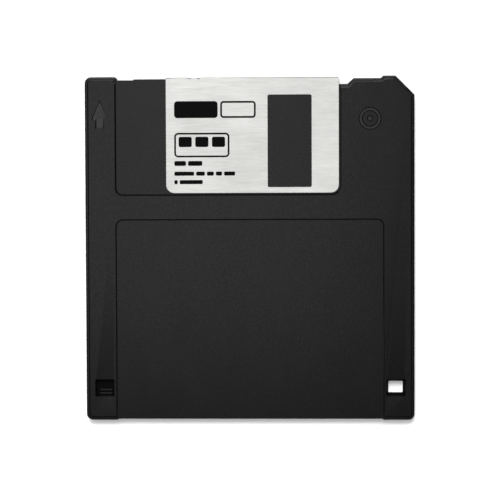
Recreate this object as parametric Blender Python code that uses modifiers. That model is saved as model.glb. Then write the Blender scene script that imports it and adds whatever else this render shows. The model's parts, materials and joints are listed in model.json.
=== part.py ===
"""A 3.5 inch floppy disk in its hard case, shutter closed, lying with the label side up.

Metres, +Z up. The origin is the middle of the case's back face. +Y points to the leading edge,
which carries the shutter, and +X to the side with the cut corner. The case is sized from the disk
outwards, so its width, length and thickness are worked out below and not set.
"""

import math

import bmesh
import bpy
from mathutils import Matrix, Vector

MM = 0.001

# The magnetic disk, and the walls of the case round it
disk_radius = 42.9 * MM
disk_thickness = 0.08 * MM
disk_room = 0.4 * MM
side_wall = 1.7 * MM
rear_wall = 1.95 * MM
leading_strip = 5.45 * MM
inner_height = 1.6 * MM
floor_thickness = 0.85 * MM
seam_gap = 0.05 * MM
outer_wall = 1.25 * MM
rib_thickness = 0.9 * MM
waist_width = 27.3 * MM
rail_width = 8.6 * MM

# The outline of the case and the worn-off look of its rim
corner_radius = 1.7 * MM
corner_cut = 5.2 * MM
small_radius = 0.3 * MM
rim_width = 1.05 * MM
rim_drop = 0.15 * MM
rim_step_run = 0.34 * MM
rim_round = 0.35 * MM
ear_step = 0.64 * MM
ear_radius = 0.8 * MM
ear_lip = 0.2 * MM
right_ear_length = 3.3 * MM
relief_length = 4.7 * MM
relief_depth = 0.26 * MM

# The notch in the leading edge where a drive's lever pushes the shutter
lever_depth = 1.56 * MM
lever_slope = 1.75 * MM
lever_lead = 2.3 * MM
lever_room = 2.5 * MM

# The shutter, a folded sheet whose own zero in x is the middle of its window
shutter_sheet = 0.2 * MM
shutter_play = 0.05 * MM
shutter_sink = 0.05 * MM
shutter_travel = 11.0 * MM
shutter_room = 2.65 * MM
window_width = 12.0 * MM
window_overlap = 0.7 * MM
window_radius = 0.4 * MM
shutter_band = 7.4 * MM
shutter_foot = 1.55 * MM
shutter_corner = 2.2 * MM
fold_radius = 0.4 * MM
fold_gap = 0.24 * MM
recess_margin = 0.3 * MM
recess_radius = 1.7 * MM
recess_wall_run = 0.45 * MM

# The shutter's tongue, bent in through the leading edge to meet the spring
tongue_from_end = 7.75 * MM
tongue_notch = 3.2 * MM
tongue_width = 1.6 * MM
tongue_setback = 0.12 * MM
tongue_reach = 1.35 * MM
tongue_lap = 0.02 * MM
tongue_hole_inset = 0.7 * MM
tongue_hole_radius = 0.35 * MM
tongue_slot_room = 0.35 * MM

# The window in both shells where the heads reach the disk
head_width = 8.8 * MM
head_radius = 0.8 * MM
head_inset = 0.25 * MM
head_from_liner = 2.25 * MM

# The area sunk for a paper label, which runs over the rear edge on to the back
label_depth = 0.2 * MM
label_length = 54.8 * MM
label_back_length = 13.0 * MM
label_wrap = 0.31 * MM
label_radius = 1.7 * MM
label_wall_run = 0.36 * MM

# The two square windows near the rear corners: density on +X, write protection on -X
sensing_inset = 5.08 * MM
sensing_from_rear = 8.87 * MM
front_window_width = 5.3 * MM
front_window_length = 4.7 * MM
back_window_width = 3.95 * MM
back_window_length = 3.2 * MM
back_window_lip = 0.5 * MM
sensing_wall = 1.2 * MM

# The write protect tab
tab_overlap = 0.28 * MM
tab_play = 0.1 * MM
tab_height_play = 0.05 * MM
tab_end_play = 0.15 * MM
tab_travel = 5.1 * MM
tab_guide = 0.8 * MM
nose_length = 3.7 * MM
nose_play = 0.12 * MM
nose_sink = 0.1 * MM
nose_root = 0.4 * MM
tab_hollow_depth = 0.9 * MM
tab_hollow_length = 2.63 * MM
tab_hollow_wall = 0.3 * MM
tab_channel_left = 1.2 * MM
tab_channel_right = 0.65 * MM
grip_pitch = 0.95 * MM
grip_width = 0.35 * MM
grip_depth = 0.3 * MM
step_lead = 0.78 * MM

# The steel hub, its glue ring and the hole it shows through
hub_radius = 12.5 * MM
hub_sheet = 0.3 * MM
hub_sink = 0.3 * MM
hub_fold_radius = 0.5 * MM
hub_room = 0.75 * MM
hub_rim_width = 1.0 * MM
hub_rim_height = 0.45 * MM
hub_flange = 2.4 * MM
hub_square = 4.0 * MM
drive_slot_length = 8.2 * MM
drive_slot_width = 4.4 * MM
drive_slot_radius = 8.6 * MM
drive_slot_corner = 0.8 * MM
glue_thickness = 0.05 * MM
glue_gap = 0.02 * MM
disk_hole_play = 0.25 * MM
ring_inset = 1.0 * MM
ring_width = 1.4 * MM

# The liners and the springy leaf under the back one
liner_thickness = 0.25 * MM
liner_gap = 0.05 * MM
liner_edge = 0.7 * MM
liner_clear = 2.1 * MM
liner_window_margin = 0.8 * MM
lifter_width = 9.0 * MM
lifter_glued = 3.5 * MM
lifter_sheet = 0.1 * MM
lifter_gap = 0.03 * MM
lifter_recess = 0.25 * MM
lifter_margin = 0.4 * MM
lifter_from_hole = 1.5 * MM
lifter_from_edge = 4.1 * MM

# The locating holes in the back, the grip notches and the pins that hold the shells together
locating_inset = 5.0 * MM
locating_from_lead = 17.75 * MM
locating_radius = 1.8 * MM
locating_slot = 0.8 * MM
locating_depth = 1.3 * MM
locating_boss = 1.1 * MM
grip_notch_depth = 1.1 * MM
grip_notch_length = 3.8 * MM
grip_notch_height = 1.2 * MM
grip_notch_from_lead = 9.65 * MM
pin_radius = 0.8 * MM
pin_play = 0.2 * MM
pin_depth = 0.55 * MM
pin_boss = 1.0 * MM
side_pin_inset = 4.0 * MM
side_pin_from_lead = 26.5 * MM
rear_pin_inset = 14.0 * MM
rear_pin_from_rear = 4.4 * MM
ear_pin_inset = 8.5 * MM
ear_pin_from_lead = 9.0 * MM

# The torsion spring that closes the shutter
spring_wire = 0.35 * MM
spring_coil_radius = 1.6 * MM
spring_turns = 2
spring_gap = 0.25 * MM
spring_play = 0.06 * MM
spring_angle = math.radians(126)
anchor_inset = 6.3 * MM
anchor_from_lead = 4.6 * MM
anchor_radius = 1.3 * MM
anchor_hole_radius = 0.4 * MM
anchor_hook = 1.1 * MM
tongue_hook = 0.75 * MM

# Sizes that follow from those above
cavity_radius = disk_radius + disk_room
rib_radius = cavity_radius + rib_thickness
half_width = cavity_radius + side_wall
half_length = (rear_wall + 2 * cavity_radius + leading_strip) / 2
case_thickness = inner_height + 2 * floor_thickness
middle_z = case_thickness / 2
back_floor_z = floor_thickness
front_floor_z = case_thickness - floor_thickness
back_seam_z = middle_z - seam_gap / 2
front_seam_z = middle_z + seam_gap / 2
hub_y = rear_wall + cavity_radius - half_length
lead_y = half_length - ear_step
lever_y = lead_y - lever_depth
hub_hole_radius = hub_radius + hub_room
flange_radius = hub_radius + hub_flange
liner_radius = cavity_radius - liner_edge
liner_hole_radius = flange_radius + liner_clear
head_length = cavity_radius - head_inset - liner_hole_radius - head_from_liner
head_y = hub_y + cavity_radius - head_inset - head_length / 2
window_length = head_length + 2 * window_overlap
foot_y = head_y - window_length / 2 - shutter_foot
fold_y = lead_y + fold_gap + shutter_sheet
recess_left = rail_width - half_width
shutter_left = recess_left + shutter_room
shutter_right = window_width / 2 + shutter_band
recess_depth = shutter_sheet + shutter_play + shutter_sink
recess_right = shutter_travel + shutter_right + recess_margin
tongue_x = shutter_left + tongue_from_end
tongue_end_y = lead_y - outer_wall - tongue_reach
sensing_x = half_width - sensing_inset
sensing_y = sensing_from_rear - half_length
tab_width = front_window_width + 2 * tab_overlap
tab_length = front_window_length + 2 * tab_overlap
tab_bottom_z = back_floor_z + tab_height_play
tab_top_z = front_floor_z - tab_height_play
well_rear_y = sensing_y - tab_length / 2 - tab_travel - tab_end_play
well_front_y = sensing_y + tab_length / 2 + tab_play
well_half_width = tab_width / 2 + tab_play
disk_bottom_z = middle_z - disk_thickness / 2
disk_top_z = middle_z + disk_thickness / 2
glue_bottom_z = disk_top_z + glue_gap
flange_bottom_z = glue_bottom_z + glue_thickness + glue_gap
lifter_floor_z = back_floor_z - lifter_recess
lifter_length = liner_radius - lifter_from_edge - liner_hole_radius - lifter_from_hole
lifter_x = lifter_from_edge + lifter_length / 2 - liner_radius
locating_x = half_width - locating_inset
locating_y = half_length - locating_from_lead
anchor = Vector((anchor_inset - half_width, half_length - anchor_from_lead))

# How finely round shapes are cut, and how far cutters run past what they cut
BEYOND = 1.0 * MM
LEAST_RADIUS = 0.05 * MM
WELD = 1e-7
ARC_STEP = math.radians(15)
LARGE_STEPS = 96
HUB_STEPS = 48
BOSS_STEPS = 24
COIL_STEPS = 14
SHALLOW = math.radians(0.5)


def clear_scene():
    for obj in list(bpy.data.objects):
        bpy.data.objects.remove(obj, do_unlink=True)


def collection(name):
    made = bpy.data.collections.new(name)
    bpy.context.scene.collection.children.link(made)
    return made


def finish(obj, colour, roughness, metallic=0.0):
    """Gives a piece its own material and smooth shading between sharp edges."""
    material = bpy.data.materials.new(obj.name)
    material.use_nodes = True
    shader = material.node_tree.nodes["Principled BSDF"]
    shader.inputs["Base Color"].default_value = (*colour, 1)
    shader.inputs["Roughness"].default_value = roughness
    shader.inputs["Metallic"].default_value = metallic
    obj.data.materials.clear()
    obj.data.materials.append(material)
    if obj.type == "MESH":
        obj.data.shade_smooth()
        obj.data.set_sharp_from_angle(angle=math.radians(30))
    return obj


def add_object(name, data, parent=None):
    obj = bpy.data.objects.new(name, data)
    parts.objects.link(obj)
    obj.parent = parent
    return obj


def joint_empty(name, location):
    """An empty on a moving piece's joint axis, which the piece hangs on."""
    empty = add_object(name, None)
    empty.location = location
    return empty


def add_box(name, low, high, parent=None):
    mesh = bpy.data.meshes.new(name)
    shape = bmesh.new()
    size = [b - a for a, b in zip(low, high)]
    centre = [(a + b) / 2 for a, b in zip(low, high)]
    where = Matrix.Translation(centre) @ Matrix.Diagonal((*size, 1))
    bmesh.ops.create_cube(shape, size=1, matrix=where)
    shape.to_mesh(mesh)
    shape.free()
    return add_object(name, mesh, parent)


def add_cylinder(name, centre, radius, low, high, steps=BOSS_STEPS, parent=None):
    mesh = bpy.data.meshes.new(name)
    shape = bmesh.new()
    where = Matrix.Translation((centre[0], centre[1], (low + high) / 2))
    bmesh.ops.create_cone(
        shape,
        cap_ends=True,
        segments=steps,
        radius1=radius,
        radius2=radius,
        depth=high - low,
        matrix=where,
    )
    shape.to_mesh(mesh)
    shape.free()
    return add_object(name, mesh, parent)


def turned(name, profile, steps, parent=None):
    """A solid of revolution. The profile's points are (radius, height), and run down its outer side."""
    mesh = bpy.data.meshes.new(name)
    on_axis = profile[0][0] == 0
    count = len(profile)
    edges = [(i, i + 1) for i in range(count - 1)]
    if not on_axis:
        edges.append((count - 1, 0))
    mesh.from_pydata([(radius, 0, z) for radius, z in profile], edges, [])
    obj = add_object(name, mesh, parent)
    screw = obj.modifiers.new("turn", "SCREW")
    screw.steps = screw.render_steps = steps
    screw.use_merge_vertices = True
    screw.merge_threshold = WELD
    return obj


def rounded(corners):
    """Points of a closed outline whose corners are (x, y, radius), each radius drawn as an arc."""
    points = []
    for i, (x, y, radius) in enumerate(corners):
        here = Vector((x, y))
        if radius <= 0:
            points.append((x, y))
            continue
        before = (Vector(corners[i - 1][:2]) - here).normalized()
        after = (Vector(corners[(i + 1) % len(corners)][:2]) - here).normalized()
        half = before.angle(after) / 2
        centre = here + (before + after).normalized() * radius / math.sin(half)
        start = here + before * radius / math.tan(half) - centre
        end = here + after * radius / math.tan(half) - centre
        first = math.atan2(start.y, start.x)
        turn = math.remainder(math.atan2(end.y, end.x) - first, math.tau)
        steps = max(2, math.ceil(abs(turn) / ARC_STEP - 0.01))
        for step in range(steps + 1):
            angle = first + turn * step / steps
            points.append((centre.x + radius * math.cos(angle), centre.y + radius * math.sin(angle)))
    return points


def inset(corners, distance):
    """The same anticlockwise outline moved inwards: outer corners get tighter and inner ones wider."""
    moved = []
    for i, (x, y, radius) in enumerate(corners):
        here = Vector((x, y))
        arriving = (here - Vector(corners[i - 1][:2])).normalized()
        leaving = (Vector(corners[(i + 1) % len(corners)][:2]) - here).normalized()
        inward = Vector((-arriving.y, arriving.x)) + Vector((-leaving.y, leaving.x))
        shift = inward * distance / (1 + arriving.dot(leaving))
        outer = arriving.cross(leaving) > 0
        if radius > 0:
            radius = max(LEAST_RADIUS, radius - distance if outer else radius + distance)
        moved.append((x + shift.x, y + shift.y, radius))
    return moved


def rectangle(low_x, high_x, low_y, high_y, radius=0):
    return [
        (low_x, low_y, radius),
        (high_x, low_y, radius),
        (high_x, high_y, radius),
        (low_x, high_y, radius),
    ]


def extruded(name, outlines, low, high, along="Z", parent=None):
    """A flat outline, with any holes listed after it, made as thick as low to high along an axis."""
    curve = bpy.data.curves.new(name, "CURVE")
    curve.dimensions = "2D"
    curve.fill_mode = "BOTH"
    curve.extrude = (high - low) / 2
    for corners in outlines:
        outline = rounded(corners)
        spline = curve.splines.new("POLY")
        spline.points.add(len(outline) - 1)
        for point, (x, y) in zip(spline.points, outline):
            point.co = (x, y, 0, 1)
        spline.use_cyclic_u = True
    turn = {
        "Z": Matrix.Identity(4),
        "X": Matrix(((0, 0, 1, 0), (1, 0, 0, 0), (0, 1, 0, 0), (0, 0, 0, 1))),
    }
    flat = bpy.data.objects.new(name + "_outline", curve)
    bpy.context.scene.collection.objects.link(flat)
    flat.matrix_world = turn[along] @ Matrix.Translation((0, 0, (low + high) / 2))
    return meshed(flat, name, parent)


def meshed(curve_object, name, parent):
    """The curve's solid as a mesh with its caps welded on. The curve is removed."""
    bpy.context.view_layer.update()
    graph = bpy.context.evaluated_depsgraph_get()
    mesh = bpy.data.meshes.new_from_object(curve_object.evaluated_get(graph))
    shape = bmesh.new()
    shape.from_mesh(mesh)
    bmesh.ops.remove_doubles(shape, verts=shape.verts, dist=WELD)
    bmesh.ops.dissolve_limit(shape, angle_limit=SHALLOW, verts=shape.verts, edges=shape.edges)
    bmesh.ops.recalc_face_normals(shape, faces=shape.faces)
    shape.to_mesh(mesh)
    shape.free()
    solid = add_object(name, mesh, parent)
    solid.matrix_basis = curve_object.matrix_basis
    curve = curve_object.data
    bpy.data.objects.remove(curve_object)
    bpy.data.curves.remove(curve)
    return solid


def lofted(name, rings):
    """A closed solid through outlines with equal numbers of points, given as (height, points)."""
    mesh = bpy.data.meshes.new(name)
    shape = bmesh.new()
    loops = [[shape.verts.new((x, y, z)) for x, y in outline] for z, outline in rings]
    for lower, upper in zip(loops, loops[1:]):
        for i in range(len(lower)):
            shape.faces.new((lower[i - 1], lower[i], upper[i], upper[i - 1]))
    shape.faces.new(loops[0])
    shape.faces.new(loops[-1])
    bmesh.ops.recalc_face_normals(shape, faces=shape.faces)
    shape.to_mesh(mesh)
    shape.free()
    return add_object(name, mesh)


def boolean(obj, tool, operation):
    """Applies another solid to this one, and sets the other aside as a cutter."""
    modifier = obj.modifiers.new(tool.name, "BOOLEAN")
    modifier.operation = operation
    modifier.object = tool
    modifier.solver = "EXACT"
    tool.hide_render = True
    tool.display_type = "WIRE"
    if tool.name in parts.objects:
        parts.objects.unlink(tool)
        cutters.objects.link(tool)


def cut(obj, *tools):
    for tool in tools:
        boolean(obj, tool, "DIFFERENCE")


def case_corners():
    """The corners of the case seen from the label side, anticlockwise from the rear left one."""
    lever_left = shutter_right - lever_room
    lever_right = shutter_travel + shutter_right + lever_lead
    ear_x = recess_left + ear_lip
    step_x = half_width - corner_cut - right_ear_length
    relief_y = lead_y - relief_depth
    return [
        (-half_width, -half_length, corner_radius),
        (half_width, -half_length, corner_radius),
        (half_width, half_length - corner_cut, small_radius),
        (half_width - corner_cut, half_length, small_radius),
        (step_x, half_length, small_radius),
        (step_x - ear_step, lead_y, 0),
        (lever_right + lever_slope, lead_y, small_radius),
        (lever_right, lever_y, 0),
        (lever_left, lever_y, 0),
        (lever_left, lead_y, small_radius),
        (ear_x + relief_length, lead_y, 0),
        (ear_x + relief_length - relief_depth, relief_y, 0),
        (ear_x, relief_y, 0),
        (ear_x, half_length, ear_radius),
        (-half_width, half_length, corner_radius),
    ]


def shell_blank(name, seam_z, face_z):
    """Half of the case as a solid block, with its rounded edge and the low step round its face."""
    outward = 1 if face_z > seam_z else -1
    edge_z = face_z - outward * rim_drop
    sections = [(seam_z, 0)]
    for degrees in (0, 30, 60, 90):
        angle = math.radians(degrees)
        height = edge_z - outward * rim_round * (1 - math.sin(angle))
        sections.append((height, rim_round * (1 - math.cos(angle))))
    sections.append((edge_z, rim_width - rim_step_run))
    sections.append((face_z, rim_width))
    corners = case_corners()
    return lofted(name, [(z, rounded(inset(corners, step))) for z, step in sections])


def pin_places():
    """Where pins join the shells: two at the sides, two at the rear and one by the cut corner."""
    side_x = half_width - side_pin_inset
    side_y = half_length - side_pin_from_lead
    rear_x = half_width - rear_pin_inset
    rear_y = rear_pin_from_rear - half_length
    ear = (half_width - ear_pin_inset, half_length - ear_pin_from_lead)
    return [(-side_x, side_y), (side_x, side_y), (-rear_x, rear_y), (rear_x, rear_y), ear]


def corner_hollows(name, low, high):
    """What is hollow between the disk's ring wall and the outer walls, with its bosses left standing."""
    hollow = extruded(name, [inset(case_corners(), outer_wall)], low, high)
    under, over = low - BEYOND, high + BEYOND
    wide, long = half_width + BEYOND, half_length + BEYOND
    waist_low, waist_high = hub_y - waist_width / 2, hub_y + waist_width / 2
    spine = shutter_travel + tongue_x + tongue_notch / 2
    cut(
        hollow,
        add_cylinder(name + "_ring_wall", (0, hub_y), rib_radius, under, over, LARGE_STEPS),
        add_box(name + "_spine", (spine, -long, under), (-spine, long, over)),
        add_box(name + "_waist", (-wide, waist_low, under), (wide, waist_high, over)),
    )
    for number, place in enumerate(pin_places()):
        boss = add_cylinder(f"{name}_pin_{number}", place, pin_radius + pin_boss, under, over)
        cut(hollow, boss)
    side = sensing_x - well_half_width - tab_guide
    ahead = well_front_y + tab_guide
    cut(hollow, add_box(name + "_tab_block", (-wide, -long, under), (-side, ahead, over)))
    wall_x = front_window_width / 2 + sensing_wall
    wall_y = front_window_length / 2 + sensing_wall
    cut(
        hollow,
        add_box(
            name + "_density_block",
            (sensing_x - wall_x, sensing_y - wall_y, under),
            (sensing_x + wall_x, sensing_y + wall_y, over),
        ),
    )
    return hollow


def tab_well(name, low, high):
    """The space in which the write protect tab slides."""
    left, right = -sensing_x - well_half_width, -sensing_x + well_half_width
    return add_box(name, (left, well_rear_y, low), (right, well_front_y, high))


def head_window(name):
    low_y, high_y = head_y - head_length / 2, head_y + head_length / 2
    corners = rectangle(-head_width / 2, head_width / 2, low_y, high_y, head_radius)
    return extruded(name, [corners], -BEYOND, case_thickness + BEYOND)


def sunken_area(name, corners, face_z, outward, depth, wall_run):
    """A cutter for an area sunk below a face, whose walls lean out by their run at the face."""
    floor_z = face_z - outward * depth
    end_z = face_z + outward * BEYOND
    widened = wall_run * (depth + BEYOND) / depth
    return lofted(name, [(floor_z, rounded(corners)), (end_z, rounded(inset(corners, -widened)))])


def shutter_recess(name, face_z, outward):
    """The area in which the shutter lies and slides, open at the leading edge."""
    low_x, high_x = recess_left, recess_right
    low_y, high_y = foot_y - recess_margin, half_length + BEYOND
    corners = [
        (low_x, low_y, recess_radius),
        (high_x, low_y, shutter_corner),
        (high_x, high_y, 0),
        (low_x, high_y, 0),
    ]
    return sunken_area(name, corners, face_z, outward, recess_depth, recess_wall_run)


def label_recess(name, length, face_z, outward):
    side = half_width - rail_width
    top = length - half_length
    corners = [
        (-side, -half_length - BEYOND, 0),
        (side, -half_length - BEYOND, 0),
        (side, top, label_radius),
        (-side, top, label_radius),
    ]
    return sunken_area(name, corners, face_z, outward, label_depth, label_wall_run)


def label_wrap_cut(name):
    """The rear edge set back where a label folds over it."""
    side = half_width - rail_width
    low = (-side, -half_length - BEYOND, -BEYOND)
    return add_box(name, low, (side, label_wrap - half_length, case_thickness + BEYOND))


def tongue_slot(name):
    """The slot in the leading wall along which the shutter's tongue travels."""
    reach = tongue_notch / 2 + tongue_slot_room
    height = shutter_sheet / 2 + tongue_slot_room
    low_x, high_x = tongue_x - reach, tongue_x + shutter_travel + reach
    low_y = lead_y - outer_wall - BEYOND
    return add_box(
        name,
        (low_x, low_y, middle_z - height),
        (high_x, half_length + BEYOND, middle_z + height),
    )


def sensing_corners(x, width, length):
    return rectangle(
        x - width / 2, x + width / 2, sensing_y - length / 2, sensing_y + length / 2, small_radius
    )


def square_window(name, x):
    """A square window through the label half of the case."""
    corners = sensing_corners(x, front_window_width, front_window_length)
    return extruded(name, [corners], -BEYOND, case_thickness + BEYOND)


def density_funnel(name):
    """The density window of the hub half: a short lip at the back, then walls that lean out."""
    narrow = rounded(sensing_corners(sensing_x, back_window_width, back_window_length))
    wide = rounded(sensing_corners(sensing_x, front_window_width, front_window_length))
    top = middle_z + BEYOND
    return lofted(name, [(-BEYOND, narrow), (back_window_lip, narrow), (middle_z, wide), (top, wide)])


def make_front_shell():
    """The label half of the case."""
    shell = shell_blank("front_shell", front_seam_z, case_thickness)
    low, over = front_seam_z - BEYOND, case_thickness + BEYOND
    cavity = add_cylinder("front_cavity", (0, hub_y), cavity_radius, low, front_floor_z, LARGE_STEPS)
    ring = turned(
        "front_centre_ring",
        [
            (hub_radius - ring_inset, over),
            (hub_radius - ring_inset, low - BEYOND),
            (hub_radius - ring_inset - ring_width, low - BEYOND),
            (hub_radius - ring_inset - ring_width, over),
        ],
        HUB_STEPS,
    )
    ring.location.y = hub_y
    cut(cavity, ring)
    cut(
        shell,
        cavity,
        corner_hollows("front_hollow", low, front_floor_z),
        tab_well("front_tab_well", low, front_floor_z),
        head_window("front_head_window"),
        shutter_recess("front_shutter_recess", case_thickness, 1),
        label_recess("front_label_recess", label_length, case_thickness, 1),
        label_wrap_cut("front_label_wrap"),
        tongue_slot("front_tongue_slot"),
        square_window("front_density_window", sensing_x),
        square_window("front_protect_window", -sensing_x),
    )
    for number, place in enumerate(pin_places()):
        tip = back_seam_z - pin_depth
        pin = add_cylinder(f"front_pin_{number}", place, pin_radius, tip, front_floor_z)
        boolean(shell, pin, "UNION")
    return finish(shell, (0.028, 0.028, 0.028), 0.5)


def make_back_shell():
    """The hub half of the case."""
    shell = shell_blank("back_shell", back_seam_z, 0)
    under, over = -BEYOND, back_seam_z + BEYOND
    cavity = add_cylinder("back_cavity", (0, hub_y), cavity_radius, back_floor_z, over, LARGE_STEPS)
    rim_z = back_floor_z + hub_rim_height
    rim = add_cylinder(
        "back_hub_rim", (0, hub_y), hub_hole_radius + hub_rim_width, under, rim_z, HUB_STEPS
    )
    cut(cavity, rim)
    hollow = corner_hollows("back_hollow", back_floor_z, over)
    for side in (-1, 1):
        place = (side * locating_x, locating_y)
        boss_radius = locating_radius + locating_slot / 2 + locating_boss
        cut(hollow, add_cylinder(f"locating_boss_{side}", place, boss_radius, under, over + BEYOND))
    cut(hollow, add_cylinder("anchor_boss", anchor, anchor_radius, under, over + BEYOND))
    slot_low = sensing_y - nose_length / 2 - tab_travel - nose_play
    slot_high = sensing_y + nose_length / 2 + nose_play
    slot_corners = rectangle(
        -sensing_x - back_window_width / 2,
        -sensing_x + back_window_width / 2,
        slot_low,
        slot_high,
        small_radius,
    )
    seat_x = lifter_length / 2 + lifter_margin
    seat_y = lifter_width / 2 + lifter_margin
    cut(
        shell,
        cavity,
        hollow,
        add_cylinder("hub_hole", (0, hub_y), hub_hole_radius, under, over, HUB_STEPS),
        tab_well("back_tab_well", back_floor_z, over),
        head_window("back_head_window"),
        shutter_recess("back_shutter_recess", 0, -1),
        label_recess("back_label_recess", label_back_length, 0, -1),
        label_wrap_cut("back_label_wrap"),
        tongue_slot("back_tongue_slot"),
        density_funnel("back_density_window"),
        extruded("back_tab_slot", [slot_corners], under, over),
        add_cylinder("locating_hole", (locating_x, locating_y), locating_radius, under, locating_depth),
        add_cylinder("anchor_hole", anchor, anchor_hole_radius, back_floor_z, over),
        add_box(
            "lifter_seat",
            (lifter_x - seat_x, hub_y - seat_y, lifter_floor_z),
            (lifter_x + seat_x, hub_y + seat_y, over),
        ),
    )
    oblong = rectangle(
        -locating_x - locating_radius - locating_slot / 2,
        -locating_x + locating_radius + locating_slot / 2,
        locating_y - locating_radius,
        locating_y + locating_radius,
        locating_radius - WELD,
    )
    cut(shell, extruded("locating_slot", [oblong], under, locating_depth))
    for side in (-1, 1):
        edge = side * half_width
        notch_y = half_length - grip_notch_from_lead
        half = grip_notch_length / 2
        wedge = [
            (edge + side * BEYOND, notch_y - side * (half + BEYOND), 0),
            (edge + side * BEYOND, notch_y + side * (half + BEYOND), 0),
            (edge - side * grip_notch_depth, notch_y, small_radius),
        ]
        cut(shell, extruded(f"grip_notch_{side}", [wedge], under, grip_notch_height))
    for number, place in enumerate(pin_places()):
        bottom = back_seam_z - pin_depth - pin_play
        socket = add_cylinder(f"back_socket_{number}", place, pin_radius + pin_play, bottom, over)
        cut(shell, socket)
    return finish(shell, (0.028, 0.028, 0.028), 0.5)


def make_shutter():
    """The folded metal sheet that covers the head windows, with the tongue its spring pushes."""
    slide = joint_empty("shutter_slide", (shutter_travel, 0, 0))
    low_z, high_z = shutter_sink, case_thickness - shutter_sink
    leg_end = foot_y - BEYOND
    inner_radius = max(LEAST_RADIUS, fold_radius - shutter_sheet)
    section = [
        (leg_end, low_z, 0),
        (fold_y, low_z, fold_radius),
        (fold_y, high_z, fold_radius),
        (leg_end, high_z, 0),
        (leg_end, high_z - shutter_sheet, 0),
        (fold_y - shutter_sheet, high_z - shutter_sheet, inner_radius),
        (fold_y - shutter_sheet, low_z + shutter_sheet, inner_radius),
        (leg_end, low_z + shutter_sheet, 0),
    ]
    sheet = extruded(
        "shutter", [section], shutter_left - BEYOND, shutter_right + BEYOND, "X", slide
    )
    plan = [
        (shutter_left, foot_y, shutter_corner),
        (shutter_right, foot_y, shutter_corner),
        (shutter_right, fold_y + BEYOND, 0),
        (shutter_left, fold_y + BEYOND, 0),
    ]
    window = rectangle(
        -window_width / 2,
        window_width / 2,
        head_y - window_length / 2,
        head_y + window_length / 2,
        window_radius,
    )
    boolean(
        sheet,
        extruded("shutter_plan", [plan, window], -BEYOND, case_thickness + BEYOND, "Z", slide),
        "INTERSECT",
    )
    notch_low = (tongue_x - tongue_notch / 2, lead_y, middle_z - shutter_sheet)
    notch_high = (tongue_x + tongue_notch / 2, fold_y + BEYOND, case_thickness + BEYOND)
    cut(sheet, add_box("tongue_notch", notch_low, notch_high, slide))
    outer = fold_y - tongue_setback
    inner = outer - shutter_sheet
    root = lead_y - shutter_sheet
    bend = [
        (root, high_z - tongue_lap, 0),
        (root, high_z - shutter_sheet + tongue_lap, 0),
        (inner, high_z - shutter_sheet + tongue_lap, LEAST_RADIUS),
        (inner, middle_z + shutter_sheet / 2, 0),
        (tongue_end_y, middle_z + shutter_sheet / 2, 0),
        (tongue_end_y, middle_z - shutter_sheet / 2, 0),
        (outer, middle_z - shutter_sheet / 2, shutter_sheet),
        (outer, high_z - tongue_lap, shutter_sheet),
    ]
    side_low, side_high = tongue_x - tongue_width / 2, tongue_x + tongue_width / 2
    boolean(sheet, extruded("tongue", [bend], side_low, side_high, "X", slide), "UNION")
    hole_place = (tongue_x, tongue_end_y + tongue_hole_inset)
    hole_low, hole_high = middle_z - 2 * shutter_sheet, middle_z + 2 * shutter_sheet
    hole = add_cylinder("tongue_hole", hole_place, tongue_hole_radius, hole_low, hole_high, 16, slide)
    cut(sheet, hole)
    return finish(sheet, (0.72, 0.72, 0.71), 0.35, 1.0)


def make_write_protect_tab():
    """The small slider with a stepped grip in a hollow at the front, and a ribbed nose at the back."""
    slide = joint_empty("write_protect_slide", (-sensing_x, sensing_y, 0))
    half_x, half_y = tab_width / 2, tab_length / 2
    body = rectangle(-half_x, half_x, -half_y, half_y, small_radius)
    tab = extruded("write_protect_tab", [body], tab_bottom_z, tab_top_z, "Z", slide)
    nose_x = back_window_width / 2 - nose_play
    nose = rectangle(-nose_x, nose_x, -nose_length / 2, nose_length / 2, small_radius)
    nose_top = tab_bottom_z + nose_root
    boolean(tab, extruded("tab_nose", [nose], nose_sink, nose_top, "Z", slide), "UNION")
    hollow_x = half_x - tab_hollow_wall
    hollow_high = half_y - tab_hollow_wall
    hollow_low = hollow_high - tab_hollow_length
    hollow_end = tab_hollow_wall - half_y
    grip_left, grip_right = tab_channel_left - hollow_x, hollow_x - tab_channel_right
    hollow = [
        (-hollow_x, hollow_end, 0),
        (grip_left, hollow_end, 0),
        (grip_left, hollow_low, 0),
        (grip_right, hollow_low, 0),
        (grip_right, hollow_end, 0),
        (hollow_x, hollow_end, 0),
        (hollow_x, hollow_high, small_radius),
        (-hollow_x, hollow_high, small_radius),
    ]
    hollow_floor = tab_top_z - tab_hollow_depth
    cut(tab, extruded("tab_hollow", [hollow], hollow_floor, tab_top_z + BEYOND, "Z", slide))
    for number in range(2):
        y = hollow_low - step_lead - number * grip_pitch
        low = (-hollow_x, y - grip_width / 2, tab_top_z - grip_depth)
        high = (hollow_x, y + grip_width / 2, tab_top_z + BEYOND)
        cut(tab, add_box(f"tab_step_{number}", low, high, slide))
    for number in (-1, 0, 1):
        y = number * grip_pitch
        low = (-nose_x - BEYOND, y - grip_width / 2, nose_sink - BEYOND)
        high = (nose_x + BEYOND, y + grip_width / 2, nose_sink + grip_depth)
        cut(tab, add_box(f"nose_groove_{number}", low, high, slide))
    return finish(tab, (0.03, 0.03, 0.03), 0.45)


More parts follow.
